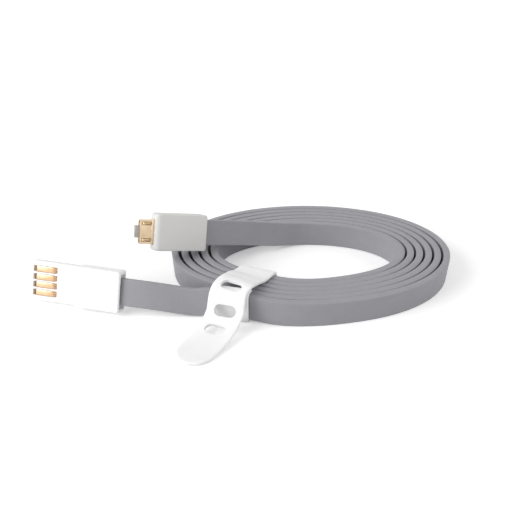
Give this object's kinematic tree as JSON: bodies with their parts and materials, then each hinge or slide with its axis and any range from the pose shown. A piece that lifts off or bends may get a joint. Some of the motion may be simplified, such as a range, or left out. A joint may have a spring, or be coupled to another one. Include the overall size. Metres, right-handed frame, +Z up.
{
  "type": "usb charging cable",
  "caption": "Flat charging cable with a USB-A plug and a micro-USB plug, wound in an oval coil on its edge and held by a slotted strap.",
  "frame": {"origin": "on the table at the middle of the oval coil", "axes": "+Z up, +X along the coil's long way to the end away from the plugs, +Y to the coil's back, where the micro-USB lead leaves it"},
  "size_m": [0.1227, 0.0745, 0.0228],
  "materials": {
    "ribbon": "matte",
    "grommet": "matte",
    "white_shell": "satin",
    "white_tongue": "satin",
    "grey_white_shell": "satin",
    "gilt_contact": "gold plated",
    "gilt_shell": "gold plated",
    "insulator": "matte",
    "gilt_latch": "gold plated",
    "clamp_steel": "brushed",
    "solder": "bright",
    "wire_red": "matte",
    "wire_white": "matte",
    "wire_green": "matte",
    "wire_black": "matte",
    "strap": "matte"
  },
  "bodies": {
    "cable": {"ribbon_coil": "ribbon", "ribbon_lead_usb_a": "ribbon", "ribbon_lead_micro_usb": "ribbon", "usb_a_housing_front": "white_shell", "usb_a_housing_back": "white_shell", "usb_a_tongue": "white_tongue", "usb_a_contact_power": "gilt_contact", "usb_a_contact_data_minus": "gilt_contact", "usb_a_contact_data_plus": "gilt_contact", "usb_a_contact_ground": "gilt_contact", "usb_a_wire_red": "wire_red", "usb_a_wire_white": "wire_white", "usb_a_wire_green": "wire_green", "usb_a_wire_black": "wire_black", "usb_a_solder_joints": "solder", "usb_a_rear_grommet": "grommet", "micro_usb_housing_front": "grey_white_shell", "micro_usb_housing_back": "grey_white_shell", "micro_usb_shell": "gilt_shell", "micro_usb_insulator": "insulator", "micro_usb_contact_power": "gilt_contact", "micro_usb_contact_data_minus": "gilt_contact", "micro_usb_contact_data_plus": "gilt_contact", "micro_usb_contact_id": "gilt_contact", "micro_usb_contact_ground": "gilt_contact", "micro_usb_wire_red": "wire_red", "micro_usb_wire_white": "wire_white", "micro_usb_wire_green": "wire_green", "micro_usb_wire_black": "wire_black", "micro_usb_solder_joints": "solder", "micro_usb_cable_clamp": "clamp_steel", "strap_band": "strap"},
    "tail": {"strap_tail": "strap"},
    "upper_latch": {"micro_usb_latch_upper": "gilt_latch"},
    "lower_latch": {"micro_usb_latch_lower": "gilt_latch"}
  },
  "joints": [
    {"name": "strap_tail_lift", "type": "hinge", "parent": "cable", "child": "tail", "pos_m": [-0.02036, -0.02207, 0.0107], "axis": [-0.8507, 0.5257, 0], "range_deg": [0, 60], "stiffness_Nm_per_rad": 0.0006},
    {"name": "upper_latch_press", "type": "hinge", "parent": "cable", "child": "upper_latch", "pos_m": [-0.04333, -0.00662, 0.01929], "axis": [-0.0795, -0.3848, -0.9196], "range_deg": [0, 4], "stiffness_Nm_per_rad": 0.05},
    {"name": "lower_latch_press", "type": "hinge", "parent": "cable", "child": "lower_latch", "pos_m": [-0.0437, -0.00843, 0.01496], "axis": [-0.0795, -0.3848, -0.9196], "range_deg": [0, 4], "stiffness_Nm_per_rad": 0.05}
  ]
}
